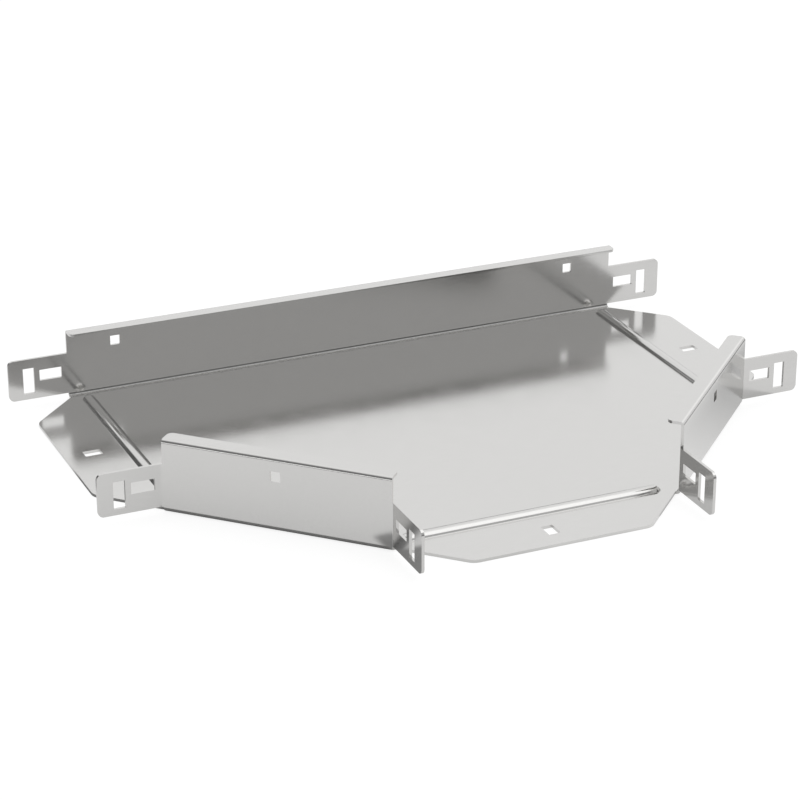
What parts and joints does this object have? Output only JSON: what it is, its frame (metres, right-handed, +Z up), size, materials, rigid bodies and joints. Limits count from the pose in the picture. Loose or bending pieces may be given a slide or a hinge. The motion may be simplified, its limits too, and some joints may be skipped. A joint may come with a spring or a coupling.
{
  "type": "cable tray tee",
  "caption": "Folded sheet-steel cable tray tee with a straight back wall, diagonal side walls, slotted joining ears and beaded floor flaps.",
  "frame": {"origin": "crossing of the run's and the branch's centrelines, on the floor's underside", "axes": "+X along the run, +Y towards the straight back wall, -Y out of the branch, +Z up"},
  "size_m": [0.514, 0.359, 0.0514],
  "materials": {
    "stainless_sheet": "bright cold-rolled stainless steel, faintly grained"
  },
  "bodies": {
    "root": {"tee_sheet": "stainless_sheet"}
  },
  "joints": []
}
